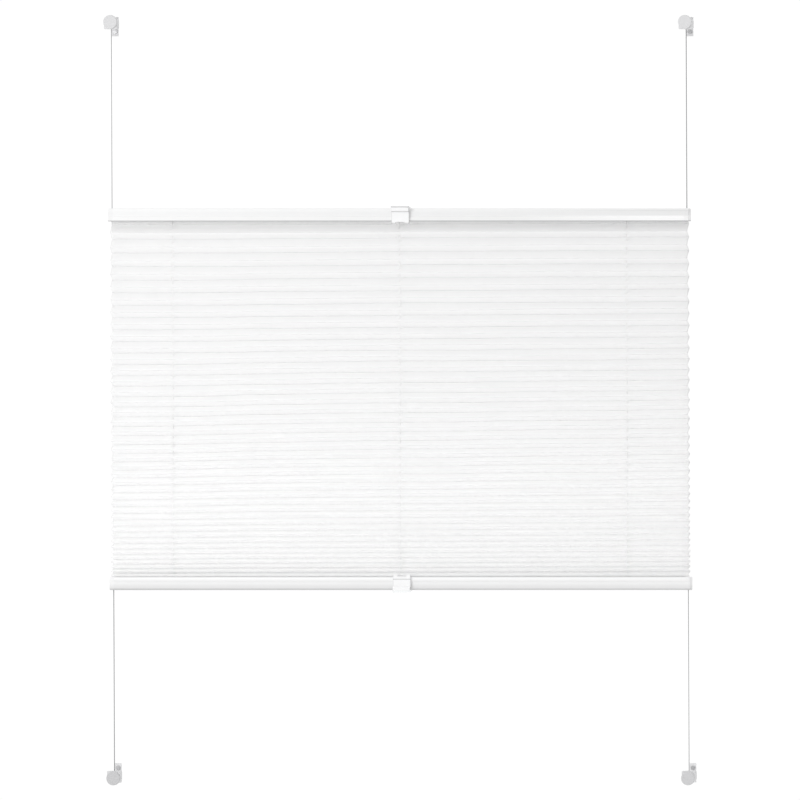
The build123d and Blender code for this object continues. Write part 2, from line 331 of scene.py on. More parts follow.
@dataclass(frozen=True)
class PaintedShadeCoat(Moulded):
    """A finish with painted shade and light: its tone changes over a piece's height and towards its left end, and a
    lip may have a painted highlight.

    Attributes:
        stops: place from the lower edge up, 0 to 1, and the share of the tone there, as painted shade.
        right_stops: the same for the right end, if it differs there.
        right_from: where along the rails the right end's stops begin to take over.
        right_rate: how fast they take over, for each metre.
        low: height of the lower edge.
        high: height of the upper edge.
        right_end: where the right end lies.
        left_loss: how much of the tone is lost for each metre to the left of the right end, as painted shade.
        painted_highlight_stops: where over the height a lip has a painted highlight.
        painted_highlight_strength: how strongly that painted highlight glows.
    """

    stops: Stops = ((0.0, 1.0), (1.0, 1.0))
    right_stops: Stops = ()
    right_from: float = 0.2
    right_rate: float = 4.0
    low: float = 0.0
    high: float = 1.0
    right_end: float = 0.5
    left_loss: float = 0.0
    painted_highlight_stops: Stops = ()
    painted_highlight_strength: float = 0.07

    def shade(self, nodes: Nodes, place: "bpy.types.NodeSocket") -> Field:
        """The share of the tone, as painted shade: a ramp over the height, less a loss that grows to the left.

        Args:
            nodes: the material's nodes.
            place: the Object coordinates.

        Returns:
            The share, from 0 to 1.
        """
        along, height = self.spot(nodes, place)
        share = self.level(nodes, self.stops, height)
        if self.right_stops:
            right = self.rightness(along)
            share = share * (1.0 - right) + self.level(nodes, self.right_stops, height) * right
        return (share - (self.right_end - along).clamped() * self.left_loss).clamped()

    def painted_highlight(self, nodes: Nodes, place: "bpy.types.NodeSocket") -> Field | None:
        """A painted highlight along a lip, given off as a glow, which grows to the right on a rail with stops for its
        right end.

        Args:
            nodes: the material's nodes.
            place: the Object coordinates.

        Returns:
            The painted highlight's strength, or None where no lip has one.
        """
        if not self.painted_highlight_stops:
            return None
        along, height = self.spot(nodes, place)
        band = self.level(nodes, self.painted_highlight_stops, height) * self.painted_highlight_strength
        return band * self.rightness(along) if self.right_stops else band

    def spot(self, nodes: Nodes, place: "bpy.types.NodeSocket") -> tuple[Field, Field]:
        """Where a place lies along the rails, in metres, and over the height, from 0 to 1."""
        along, _, up = nodes.axes(place)
        return along, (up - self.low) * (1.0 / (self.high - self.low))

    def rightness(self, along: Field) -> Field:
        """How far the right end's look has taken over, from 0 to 1."""
        return ((along - self.right_from) * self.right_rate).clamped()

    def level(self, nodes: Nodes, stops: Stops, height: Field) -> Field:
        """A ramp over the height, from 0 to 1."""
        ramp = nodes.add("ShaderNodeValToRGB", {"stops": stops}, Fac=height.clamped())
        return Field(nodes, nodes.add("ShaderNodeRGBToBW", Color=ramp.outputs[0]).outputs[0])


@dataclass(frozen=True)
class PleatCloth:
    """Smooth non-woven cloth that lets a little light through, with painted shade in its back folds and by the rails,
    and a painted glow where the folds lie close, under the front folds and along the cut sides.

    The mesh carries front_share (1 at a front fold, 0 at a back fold), closeness (how much closer the folds
    lie than at the top), underside (1 just under a front fold), side_edge (1 at the cut sides) and
    rail_painted_shade_mask.

    Attributes:
        name: the material's name.
        tone: base colour.
        translucent: share of light that passes through the sheet.
        valley: the share of the tone in the back folds, as painted shade.
        fibre_length: how often a fibre repeats along itself, for each metre.
        fibre_width: how often fibres lie side by side, for each metre.
        close_fold_glow: painted glow where the folds lie close, standing in for light passed on from fold to fold.
        crowded: how much of it is lost again where they lie closest.
        crowded_from: the closeness from which it's lost.
        underside_glow: painted light on the underside of each front fold.
        side_glow: painted light along the cut sides.
        rail_shade: how much darker the cloth is right by a rail, as painted shade.
    """

    name: str
    tone: tuple[float, float, float]
    translucent: float = 0.5
    valley: float = 0.93
    fibre_length: float = 260.0
    fibre_width: float = 2600.0
    close_fold_glow: float = 0.085
    crowded: float = 0.12
    crowded_from: float = 0.45
    underside_glow: float = 0.04
    side_glow: float = 0.05
    rail_shade: float = 0.014

    def build(self) -> bpy.types.Material:
        """Builds the material: crossing fibres in tone and bump, and a translucent part.

        Returns:
            The material.
        """
        nodes = Nodes(self.name)
        uv = nodes.coordinates("UV")
        fine, coarse = self.fibre_width, self.fibre_length
        weft = nodes.add("ShaderNodeMapping", Vector=uv, Scale=(coarse, fine, 1.0)).outputs[0]
        warp = nodes.add("ShaderNodeMapping", Vector=uv, Scale=(fine, coarse, 1.0)).outputs[0]
        fibres = (nodes.noise(weft, 1.0, 3.0) + nodes.noise(warp, 1.0, 3.0)) * 0.5
        cloud = nodes.noise(uv, 24.0, 5.0)
        forward = nodes.attribute("front_share")
        # Painted shade: darker towards the back folds and paler at the front folds, on top of the fibres' and clouds'
        # own tone.
        bright = forward.clamped().power(0.3) * 0.7 + forward * 0.25 + (fibres + cloud - 1.0) * 0.15
        valley_painted_shade = tuple(c * self.valley for c in self.tone)
        tone = mix_tones(nodes, bright.clamped(), valley_painted_shade, self.tone)
        # Painted shade by the rails.
        tone = mix_tones(nodes, nodes.attribute("rail_painted_shade_mask") * self.rail_shade, tone, BLACK)
        bump = nodes.add("ShaderNodeBump", Strength=0.2, Distance=0.05 * MM, Height=fibres)
        front = nodes.add(
            "ShaderNodeBsdfPrincipled",
            Base_Color=tone,
            Roughness=(fibres * 0.2 + 0.7).clamped(),
            Normal=bump.outputs[0],
            Sheen_Weight=0.1,
            Specular_IOR_Level=0.25,
        )
        # Painted glow in close folds, under the front folds and along the cut sides.
        nodes.glow(front, self.painted_glow(nodes), self.tone)
        through = nodes.add("ShaderNodeBsdfTranslucent", Color=(*self.tone, 1.0))
        return nodes.finish(nodes.blended(self.translucent, front, through))

    def painted_glow(self, nodes: Nodes) -> Field:
        """Painted glow that stands in for light reaching a place from the cloth around it.

        Args:
            nodes: the material's nodes.

        Returns:
            The painted glow's strength, from 0 to 1.
        """
        dense = nodes.attribute("closeness")
        light = dense.clamped().power(0.9) * self.close_fold_glow - (dense - self.crowded_from).clamped() * self.crowded
        under, edge = nodes.attribute("underside"), nodes.attribute("side_edge")
        return (light + under * self.underside_glow + edge * self.side_glow).clamped()


@dataclass(frozen=True)
class Braid:
    """Fine braided cord: two crossing sets of threads round the cord.

    Attributes:
        name: the material's name.
        tone: colour of the threads.
        dark: colour between the threads.
        pitch_mm: length of one turn of a thread.
        threads: number of threads in each set.
    """

    name: str
    tone: tuple[float, float, float]
    dark: tuple[float, float, float]
    pitch_mm: float = 3.0
    threads: int = 4

    def build(self) -> bpy.types.Material:
        """Builds the material from the cord's own UV: u goes round it and v along it, in metres.

        Returns:
            The material.
        """
        nodes = Nodes(self.name)
        turns, length, _ = nodes.axes(nodes.coordinates("UV"))
        around = turns * (self.threads * 2 * math.pi)
        along = length * (self.threads * 2 * math.pi / (self.pitch_mm * MM))
        threads = ((around + along).wave() * (around - along).wave()) * 0.5 + 0.5
        bump = nodes.add("ShaderNodeBump", Strength=0.6, Distance=0.06 * MM, Height=threads)
        shader = nodes.add(
            "ShaderNodeBsdfPrincipled",
            Base_Color=mix_tones(nodes, threads, self.dark, self.tone),
            Roughness=(0.8 - threads * 0.15).clamped(),
            Normal=bump.outputs[0],
        )
        return nodes.finish(shader)


@dataclass(frozen=True)
class ClearPlastic:
    """Clear moulded plastic, slightly milky, with painted shade along its side rims and in lines across it, and a
    painted glow.

    Attributes:
        name: the material's name.
        tone: colour of the plastic.
        roughness: roughness of the moulded faces.
        clearness: share of light that goes straight through.
        body_glow: painted glow that brightens the body.
        middle: where the handles' middle lies along the rails.
        rim_from: how far from the middle the painted shade of the side rims begins.
        rim_rate: how fast they grow, for each metre.
        rim_painted_shade: how dark the painted shade of the side rims is.
        lines: height and half width of each painted shade line across the handles.
        painted_edge_shade: the share of the tone in the painted shade of the rims and lines.
        lip_top: height under which the bottom handle's thin ledge lies.
        lip_clearness: how much clearer that ledge is.
    """

    name: str
    tone: tuple[float, float, float]
    roughness: float = 0.1
    clearness: float = 0.06
    body_glow: float = 0.06
    middle: float = 4.2 * MM
    rim_from: float = 14.2 * MM
    rim_rate: float = 1500.0
    rim_painted_shade: float = 0.5
    lines: Stops = ((324.4, 1.5), (316.6, 1.2), (297.0, 1.2), (-300.6, 1.1))
    painted_edge_shade: float = 0.45
    lip_top: float = -319 * MM
    lip_clearness: float = 0.8

    def build(self) -> bpy.types.Material:
        """Builds the material: a glossy milky body that is partly seen through, with painted shade along its edges and
        a painted glow.

        Returns:
            The material.
        """
        nodes = Nodes(self.name)
        place = nodes.coordinates("Object")
        x, _, height = nodes.axes(place)
        flow = nodes.noise(place, 140.0, 3.0)
        # Painted shade: darker side rims and lines across the handles.
        rim = (((x - self.middle).magnitude() - self.rim_from) * self.rim_rate).clamped() * self.rim_painted_shade
        for line, half in self.lines:
            band = (1.0 - (height - line * MM).magnitude() * (1.0 / (half * MM))).clamped()
            rim = (rim + band * 0.9).clamped()
        painted_edge_shade = tuple(c * self.painted_edge_shade for c in self.tone)
        bump = nodes.add("ShaderNodeBump", Strength=0.15, Distance=0.05 * MM, Height=flow)
        shader = nodes.add(
            "ShaderNodeBsdfPrincipled",
            Base_Color=mix_tones(nodes, (rim * 0.9 + flow * 0.08).clamped(), self.tone, painted_edge_shade),
            Roughness=(flow * 0.06 + (self.roughness - 0.02)).clamped(),
            Normal=bump.outputs[0],
            Coat_Weight=0.3,
            # Painted glow of the body.
            Emission_Color=(*WHITE, 1.0),
            Emission_Strength=self.body_glow,
        )
        clear = nodes.add("ShaderNodeBsdfTransparent", Color=(0.97, 0.98, 0.98, 1.0))
        lip = ((self.lip_top - height) * (1.0 / MM)).clamped()
        return nodes.finish(nodes.blended((lip * self.lip_clearness + self.clearness).clamped(), shader, clear))


@dataclass(frozen=True)
class LitWall:
    """The finish of the evenly lit white wall behind the blind.

    Attributes:
        name: the material's name.
        light: how bright it is.
    """

    name: str
    light: float = 1.02

    def build(self) -> bpy.types.Material:
        """Builds the material: plain even light."""
        nodes = Nodes(self.name)
        return nodes.finish(nodes.add("ShaderNodeEmission", Color=(*WHITE, 1.0), Strength=self.light))


# ------------------------------------------------------------------ mesh helpers


def grid_faces(rows: int, columns: int) -> np.ndarray:
    """Quads of a grid of points.

    The corners of quad (i, j) are points i·columns + j, its right neighbour and the two above them.

    Args:
        rows: number of rows of points.
        columns: number of points in a row.

    Returns:
        An array of quads by point number.
    """
    i, j = np.meshgrid(np.arange(rows - 1), np.arange(columns - 1), indexing="ij")
    first = i * columns + j
    return np.stack([first, first + 1, first + columns + 1, first + columns], axis=-1).reshape(-1, 4)


def new_mesh(name: str, points: np.ndarray, faces: np.ndarray, uv: np.ndarray | None = None) -> bpy.types.Object:
    """Puts arrays into a new mesh object at the origin.

    Args:
        name: the object's name.
        points: an array of points, in metres.
        faces: an array of quads, or a list of polygons.
        uv: one pair for each point, if the piece needs its own map.

    Returns:
        The new object, with smooth faces.
    """
    mesh = bpy.data.meshes.new(name)
    polygons = faces.tolist() if isinstance(faces, np.ndarray) else faces
    mesh.from_pydata(points.reshape(-1, 3).tolist(), [], polygons)
    if uv is not None:
        corner = np.zeros(len(mesh.loops), dtype=np.int32)
        mesh.loops.foreach_get("vertex_index", corner)
        layer = mesh.uv_layers.new(name="cut")
        layer.data.foreach_set("uv", uv.reshape(-1, 2)[corner].ravel().astype(np.float32))
    mesh.polygons.foreach_set("use_smooth", np.ones(len(mesh.polygons), dtype=bool))
    mesh.update()
    piece = bpy.data.objects.new(name, mesh)
    bpy.context.scene.collection.objects.link(piece)
    return piece


def dress(piece: bpy.types.Object, material: bpy.types.Material) -> None:
    """Gives a piece, or a CAD node's object, one material in every slot.

    Args:
        piece: the object.
        material: its finish.
    """
    if not piece.data.materials:
        piece.data.materials.append(material)
    for place in range(len(piece.data.materials)):
        piece.data.materials[place] = material


# ------------------------------------------------------------------ folded sheet


@dataclass
class FoldedSheet:
    """The pleated sheet, as two pieces that meet at a back fold between the rails.

    Attributes:
        half_width: half of the sheet's width.
        plane: the plane of the cords, about which the sheet folds.
        pleats: number of pleats in the whole sheet.
        face: length of one face between two folds.
        top: underside of the top rail.
        bottom: upper side of the bottom rail.
        into_rail: how far the sheet's end folds reach up or down past a rail's edge.
        first_drop: drop from the top rail to the first back fold.
        last_rise: rise from the bottom rail to the last back fold.
        pitch_loss: share of the first pitch that is lost with each pleat.
        pitch_regain: share of it that is won back with the square of the pleat's number.
        still_pleat: the pleat whose back fold stays put as the rails move.
        droop: how far down in its pitch a front fold hangs.
        thickness: thickness of the cloth as it is shown.
        tab: height of the end tabs in the rails.
        tab_half_width: half of a tab's width.
        tilt: rise of a fold from the sheet's middle to its right side.
        wander: how far all folds wander together.
        own_wander: how far each fold wanders by itself.
        depth_wander: how far it wanders forwards and back.
        hole_places: where the cord holes lie along the width.
        hole_half: half of a hole's width.
        columns: number of points along a fold, apart from those at holes and sides.
        wave_counts: numbers of half waves over the width from its middle.
        wave_drift: how much the shared waves' phase changes from top to bottom.
        seed: start of the waves' random phases.
        rail_shade_reach: how far the top rail's painted shade reaches down.
        low_shade_reach: how far the bottom rail's painted shade reaches up.
        low_shade: how strong the bottom rail's painted shade is in the back folds.
        side_reach: how far the painted light reaches in from the cut sides.
        folds: height of each fold, worked out.
        reaches: how far each fold lies behind the plane, worked out.
    """

    half_width: float = 497 * MM
    plane: float = -12 * MM
    pleats: int = 40
    face: float = 20 * MM
    top: float = 300 * MM
    bottom: float = -297 * MM
    into_rail: float = -0.2 * MM
    first_drop: float = 4.8 * MM
    last_rise: float = 8.2 * MM
    pitch_loss: float = 0.02155
    pitch_regain: float = 0.000101
    still_pleat: int = 20
    droop: float = 0.57
    thickness: float = 0.45 * MM
    tab: float = 3.0 * MM
    tab_half_width: float = 489 * MM
    tilt: float = 4.2 * MM
    wander: float = 0.7 * MM
    own_wander: float = 0.5 * MM
    depth_wander: float = 0.2 * MM
    hole_places: tuple[float, ...] = (-391 * MM, 0.0, 391 * MM)
    hole_half: float = 0.72 * MM
    columns: int = 100
    wave_counts: tuple[float, ...] = (1.3, 2.4, 4.1, 7.3)
    wave_drift: float = 2.5
    seed: int = 11
    rail_shade_reach: float = 23 * MM
    low_shade_reach: float = 30 * MM
    low_shade: float = 2.8
    side_reach: float = 5 * MM
    folds: np.ndarray = field(init=False)
    reaches: np.ndarray = field(init=False)

    def __post_init__(self) -> None:
        """Works out where each fold lies: back fold, front fold, back fold and so on, from the top.

        With n the pleat's number, its pitch goes as 1 - loss n + regain n². A face spans half a pitch in
        height, so a fold reaches √(face² - (pitch / 2)²) / 2 out of the plane, less the thickness.
        """
        pleat = np.arange(self.pleats)
        hang = 1 - self.pitch_loss * pleat + self.pitch_regain * pleat**2
        run = self.top - self.bottom - self.first_drop - self.last_rise
        pitch = hang * run / hang[:-1].sum()
        backs = self.top - self.first_drop - np.concatenate([[0.0], np.cumsum(pitch)[:-1]])
        heights = np.stack([backs, backs - pitch * self.droop], axis=1).ravel()
        reach = np.sqrt(self.face**2 - (pitch / 2) ** 2) / 2 - self.thickness
        sides = np.stack([reach, -reach], axis=1).ravel()
        ends = self.top + self.into_rail, self.bottom - self.into_rail
        self.folds = np.concatenate([[ends[0]], heights, [ends[1]]])
        self.reaches = np.concatenate([[0.0], sides, [0.0]])

    def still_height(self) -> float:
        """The height of the fold that stays put."""
        return float(self.folds[1 + 2 * self.still_pleat])

    def at_fold(self, t: np.ndarray, values: np.ndarray) -> np.ndarray:
        """Values that are given for each fold, joined by lines, at fold numbers t."""
        return np.interp(t, np.arange(len(values)), values)

    def room(self, t: np.ndarray) -> np.ndarray:
        """The pitch at fold numbers t as a share of the first pitch."""
        number = np.arange(2, len(self.folds) - 2)
        return np.interp(t, number, self.folds[1:-3] - self.folds[3:-1]) / (self.folds[1] - self.folds[3])

    def across(self) -> np.ndarray:
        """Places of the points along a fold: even ones, and more at the holes' sides and the cut sides."""
        edges = [place + side * self.hole_half for place in self.hole_places for side in (-1, 1)]
        edges += [side * (self.half_width - back * MM) for side in (-1, 1) for back in (2.5, 5.0)]
        return np.unique(np.concatenate([np.linspace(-self.half_width, self.half_width, self.columns), edges]))

    def waves(self, t: np.ndarray, down: np.ndarray, u: np.ndarray) -> tuple[np.ndarray, np.ndarray]:
        """Slow waves along the folds: sums of sin(π w u + phase) / w over a few numbers of waves w.

        Args:
            t: fold numbers.
            down: how far down the sheet each lies, 0 to 1.
            u: places along the width, -1 to 1.

        Returns:
            The waves that all folds share, whose phase drifts slowly down the sheet, and each fold's own.
        """
        shared = np.zeros((len(t), len(u)))
        own = np.zeros((len(t), len(u)))
        random = np.random.default_rng(self.seed)
        for count in self.wave_counts:
            drift = random.uniform(0, 2 * np.pi) + self.wave_drift * down
            shared += np.sin(np.pi * count * u[None, :] + drift[:, None]) / count
            phase = self.at_fold(t, random.uniform(0, 2 * np.pi, len(self.folds) + 1))
            own += np.sin(np.pi * count * u[None, :] + phase[:, None]) / count
        return shared, own

    def surface(self, t: np.ndarray, x: np.ndarray) -> tuple[np.ndarray, np.ndarray]:
        """The sheet's points at fold numbers t and places x, and their places on the flat sheet.

        Between two folds the height z and the depth y run straight, and right at a fold the depth is pulled
        in by a factor 1 - 0.018 exp(-(d / 0.03)²), with d the distance to the fold in fold numbers. With u
        from -1 to 1 over the width, a fold rises by slope · u, and the slope is widest half way down. It
        also sways by the waves, which die out at the rails and where the folds are close.

        Args:
            t: fold numbers, one for each row of points.
            x: places along the width, one for each column.

        Returns:
            The points, and u and v of the flat sheet in metres, each as rows by columns.
        """
        z = self.at_fold(t, self.folds)
        near = np.abs(t - np.round(t))
        y = self.at_fold(t, self.reaches) * (1 - 0.018 * np.exp(-((near / 0.03) ** 2)))
        down = (self.top - z) / (self.top - self.bottom)
        u = x / self.half_width
        held = np.sin(np.pi * np.clip(down, 0, 1))
        slope = self.tilt * held**0.35 * (1 + 0.65 * np.exp(-(((down - 0.62) / 0.2) ** 2)))
        shared, own = self.waves(t, down, u)
        room, free = self.room(t)[:, None], (held**0.5)[:, None]
        sway = (self.wander * shared + self.own_wander * own * room**2) * free
        height = z[:, None] + slope[:, None] * u[None, :] + sway
        depth = self.plane + y[:, None] + self.depth_wander * own * room * free
        points = np.stack([np.broadcast_to(x[None, :], height.shape), depth, height], axis=-1)
        run = np.concatenate([[0.0], np.cumsum(np.hypot(np.diff(y), np.diff(z)))])
        return points, np.stack(np.broadcast_arrays(x[None, :], run[:, None]), axis=-1)

    def shares(self, fold_at: np.ndarray, x: np.ndarray) -> dict[str, np.ndarray]:
        """What the cloth's finish reads at each point.

        Args:
            fold_at: the fold number of each row.
            x: places along the width, one for each column.

        Returns:
            Each attribute's values, row by row.
        """
        at = np.clip(fold_at, 0, len(self.folds) - 1)
        z = self.at_fold(at, self.folds)
        front = self.at_fold(at, 0.5 - 0.5 * np.sign(self.reaches))
        leaving = at - np.floor(at)
        below_front = np.clip(leaving / 0.03, 0, 1) * (1 - leaving) ** 0.5
        # Painted shade in the back folds near the bottom rail, and by the top rail.
        low = np.clip(1 - (z - self.bottom) / self.low_shade_reach, 0, 1) * (1 - front)
        by_row = {
            "front_share": front,
            "closeness": np.clip(1 - self.room(at), 0, 1),
            # Painted light just under each front fold.
            "underside": np.where(np.floor(at) % 2 == 0, below_front, 0.0),
            "rail_painted_shade_mask": np.clip(1 - (self.top - z) / self.rail_shade_reach, 0, 1) + self.low_shade * low,
        }
        spread = {title: np.repeat(share, len(x)) for title, share in by_row.items()}
        # Painted light along the cut sides.
        side = np.clip((np.abs(x) - self.half_width) / self.side_reach + 1, 0, 1)
        return {**spread, "side_edge": np.tile(side, len(at))}

    def piece(self, name: str, first: int, last: int, tab_above: bool) -> bpy.types.Object:
        """One part of the sheet between two folds, with a tab at the rail and holes for the cords.

        The rows of points lie at a few steps of each face, closer together near its folds. A hole takes
        out the quads in the middle tenth of a face that lie within half a hole's width of its place.

        Args:
            name: the piece's name.
            first: number of the first fold.
            last: number of the last fold.
            tab_above: whether the tab is above the first fold, and not under the last.

        Returns:
            The piece's object.
        """
        steps = np.array([0.0, 0.03, 0.10, 0.25, 0.46, 0.54, 0.75, 0.90, 0.97])
        t = np.append((first + np.arange(last - first)[:, None] + steps[None, :]).ravel(), float(last))
        x = self.across()
        points, uv = self.surface(t, x)
        row, up, end = (0, 1, 0) if tab_above else (-1, -1, len(t))
        edge, cut = points[row].copy(), uv[row].copy()
        edge[:, 0] = np.clip(edge[:, 0], -self.tab_half_width, self.tab_half_width)
        edge[:, 2] += up * self.tab
        cut[:, 1] -= up * self.tab
        points, uv = np.insert(points, end, edge, axis=0), np.insert(uv, end, cut, axis=0)
        fold_at = np.insert(t, end, first - 0.5 if tab_above else last + 0.5)
        faces = grid_faces(len(points), len(x))
        centre_x = points.reshape(-1, 3)[faces][:, :, 0].mean(axis=1)
        middle = np.repeat((fold_at[:-1] + fold_at[1:]) / 2, len(x) - 1)
        by_hole = np.abs(centre_x[:, None] - np.array(self.hole_places)).min(axis=1) < self.hole_half
        punched = by_hole & (np.abs(middle - np.floor(middle) - 0.5) < 0.05)
        made = new_mesh(name, points, faces[~punched][:, ::-1], uv)
        for title, share in self.shares(fold_at, x).items():
            layer = made.data.attributes.new(title, "FLOAT", "POINT")
            layer.data.foreach_set("value", share.astype(np.float32))
        return made

    def build(self, cloth: bpy.types.Material) -> None:
        """Builds and dresses both parts of the sheet.

        Args:
            cloth: the cloth's material.
        """
        still, last = 1 + 2 * self.still_pleat, len(self.folds) - 1
        for name, first, end, body, rail, rail_z in (
            ("folded_sheet_upper", 0, still, Body.TOP, "top_rail", self.top),
            ("folded_sheet_lower", still, last, Body.BOTTOM, "bottom_rail", self.bottom),
        ):
            piece = self.piece(name, first, end, tab_above=body is Body.TOP)
            thick = piece.modifiers.new("sheet_thickness", "SOLIDIFY")
            thick.thickness = self.thickness
            thick.offset = 0.0
            dress(piece, cloth)
            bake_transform(piece)
            even_pull(piece)
            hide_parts("pleated_fabric")
            log.info("%s: %d points", name, len(piece.data.vertices))


def even_pull(piece: bpy.types.Object) -> None:
    """Reads the points of a piece that lies between two heights, and changes nothing.
    """
    points = np.zeros(len(piece.data.vertices) * 3)
    piece.data.vertices.foreach_get("co", points)


# ------------------------------------------------------------------ cords


@dataclass
class Cords:
    """The taut cords: upright runs, and routes that ride in a rail.

    Attributes:
        cord: the material of the runs in the open.
        pale: a paler copy of the braid for the runs between the folds: one cord painted lighter there than in the
            open.
        still: height of the sheet's still fold.
        radius: radius of a cord.
        plane: the plane of the cords.
        pair: how far the centre cord lies behind the outer cord at a shoe.
        edge_x: place of the outer runs.
        guide_x: place of the runs through the sheet.
        anchor_z: height of the cords' ends in the shoes.
        top_out: where the cords leave the top rail upwards.
        top_in: where they leave it into the sheet.
        top_run_z: height of the runs along the top rail.
        bottom_in: where the cords enter the bottom rail from the sheet.
        bottom_out: where the outer cords leave it downwards.
        centre_out: where the centre cord leaves it downwards.
        run_z: height of the outer cords' runs along the bottom rail.
        centre_run_z: height of the centre cord's run there.
        spread: how far an outer cord's lane lies before or behind the plane there.
        centre_offset: how far the centre cord's lane lies behind the plane in the top rail.
        spring_x: place of the springs' middles.
        spring_half: half of a spring's length.
        near_lead: how far inside its hole an outer cord, or the centre cord, reaches its lane.
        far_lead: how far outside the hole a cord leaves its lane at the rail's other end.
        top_lead: how far inside the outer run the centre cord reaches its lane in the top rail.
        corner: how far from a corner at an outer run its curve begins.
        inner_corner: the same at the inner runs.
        low_corner: the same in the centre cord's low run.
        sides: number of sides of a tube.
    """

    cord: bpy.types.Material
    pale: bpy.types.Material
    still: float
    radius: float = 0.6 * MM
    plane: float = -12 * MM
    pair: float = 1.4 * MM
    edge_x: float = 495 * MM
    guide_x: float = 391 * MM
    anchor_z: float = 636 * MM
    top_out: float = 320 * MM
    top_in: float = 309 * MM
    top_run_z: float = 315 * MM
    bottom_in: float = -306 * MM
    bottom_out: float = -317 * MM
    centre_out: float = -317.6 * MM
    run_z: float = -310.5 * MM
    centre_run_z: float = -314 * MM
    spread: float = 3 * MM
    centre_offset: float = 4 * MM
    spring_x: float = 230 * MM
    spring_half: float = 20 * MM
    near_lead: float = 46 * MM
    far_lead: float = 49 * MM
    top_lead: float = 55 * MM
    corner: float = 4.4 * MM
    inner_corner: float = 4.0 * MM
    low_corner: float = 3.4 * MM
    sides: int = 12

    def tube(self, name: str, path: np.ndarray) -> bpy.types.Object:
        """A round tube along a path.

        The ring at a point of the path is the point plus radius times (cos a · n + sin a · b), where n
        and b stand square to the path there. u goes once round the tube and v along it, in metres.

        Args:
            name: the piece's name.
            path: the points of the centre line.

        Returns:
            The piece's object, closed at both ends.
        """
        ahead = np.gradient(path, axis=0)
        ahead /= np.linalg.norm(ahead, axis=1)[:, None]
        side = np.cross(ahead, np.array([0.0, 1.0, 0.0]))
        side /= np.linalg.norm(side, axis=1)[:, None]
        third = np.cross(ahead, side)
        angle = np.linspace(0, 2 * np.pi, self.sides + 1)
        ring = np.cos(angle)[None, :, None] * side[:, None] + np.sin(angle)[None, :, None] * third[:, None]
        points = path[:, None] + self.radius * ring
        along = np.concatenate([[0.0], np.cumsum(np.linalg.norm(np.diff(path, axis=0), axis=1))])
        uv = np.stack(np.broadcast_arrays((angle / (2 * np.pi))[None, :], along[:, None]), axis=-1)
        faces = grid_faces(len(path), self.sides + 1)[:, ::-1].tolist()
        last = (len(path) - 1) * (self.sides + 1)
        faces.append(list(range(self.sides)))
        faces.append([last + place for place in range(self.sides)][::-1])
        return new_mesh(name, points, faces, uv)

    def bend(self, corners: list[Point], radius: float) -> np.ndarray:
        """Points of a route whose corners are rounded.

        At each inner corner the route is cut short by the radius on both sides, and the cut is a quadratic
        curve (1 - s)²a + 2s(1 - s)c + s²b from the cut a before the corner c to the cut b after it.

        Args:
            corners: the route's corners, in metres.
            radius: how far from a corner the curve begins.

        Returns:
            The points of the route.
        """
        p = np.array(corners, dtype=float)
        before = p[:-2] - p[1:-1]
        after = p[2:] - p[1:-1]
        a = p[1:-1] + radius * before / np.linalg.norm(before, axis=1)[:, None]
        b = p[1:-1] + radius * after / np.linalg.norm(after, axis=1)[:, None]
        s = np.linspace(0, 1, 9)[None, :, None]
        curve = (1 - s) ** 2 * a[:, None] + 2 * s * (1 - s) * p[1:-1, None] + s**2 * b[:, None]
        return np.concatenate([p[:1], curve.reshape(-1, 3), p[-1:]])

    def run(
        self, name: str, points: list[Point], body: Body, node: str, corner: float = 0.0, folded_in: bool = False
    ) -> None:
        """Builds one run of a cord: an upright one, or a route that rides in a rail.

        Args:
            name: the piece's name.
            points: the corners of a route, or the two ends of an upright run, the still one first.
            body: the rail's body.
            node: the CAD cord that the run stands for.
            corner: how far from a corner a route's curve begins, or 0 for an upright run.
            folded_in: whether the run lies between the folds.
        """
        if corner:
            piece = self.tube(name, self.bend(points, corner))
            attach(piece, body.value)
        else:
            piece = self.tube(name, np.array(sorted(points, key=lambda end: end[2])))
            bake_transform(piece)
        # The runs between the folds get the paler copy: painted light on one cord.
        dress(piece, self.pale if folded_in else self.cord)
        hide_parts(node)
        log.info("%s: part of %s", name, node)

    def through_sheet(self, name: str, x: float, node: str) -> None:
        """Builds a cord's two runs between the folds, from the still fold up to one rail and down to the other."""
        for part, rail_z, body in (("upper", self.top_in, Body.TOP), ("lower", self.bottom_in, Body.BOTTOM)):
            ends = [(x, self.plane, self.still), (x, self.plane, rail_z)]
            self.run(f"{name}_in_{part}_sheet", ends, body, node, folded_in=True)

    def outer(self, hand: str) -> None:
        """Builds the runs of the left or right cord, from its top shoe to the other side's bottom shoe."""
        side = -1 if hand == "left" else 1
        name, upper, lower = f"{hand}_cord", f"{hand}_upper_cord", f"{hand}_lower_cord"
        y, lane = self.plane, self.plane + side * self.spread
        edge, hole, far_edge = side * self.edge_x, side * self.guide_x, -side * self.edge_x
        over = [(edge, y, self.anchor_z), (edge, y, self.top_out)]
        in_top = [over[1], (edge, y, self.top_run_z), (hole, y, self.top_run_z), (hole, y, self.top_in)]
        to_spring = [
            (hole, y, self.bottom_in),
            (hole, y, self.run_z),
            (side * (self.guide_x - self.near_lead), lane, self.run_z),
            (side * (self.spring_x + self.spring_half), lane, self.run_z),
        ]
        from_spring = [
            (side * (self.spring_x - self.spring_half), lane, self.run_z),
            (-side * (self.guide_x + self.far_lead), lane, self.run_z),
            (far_edge, y, self.run_z),
            (far_edge, y, self.bottom_out),
        ]
        under = [(far_edge, y, -self.anchor_z), from_spring[-1]]
        self.run(f"{name}_over_top_rail", over, Body.TOP, upper)
        self.run(f"{name}_in_top_rail", in_top, Body.TOP, upper, self.corner)
        self.through_sheet(name, hole, upper)
        self.run(f"{name}_to_spring", to_spring, Body.BOTTOM, upper, self.inner_corner)
        self.run(f"{name}_from_spring", from_spring, Body.BOTTOM, lower, self.corner)
        self.run(f"{name}_under_bottom_rail", under, Body.BOTTOM, lower)

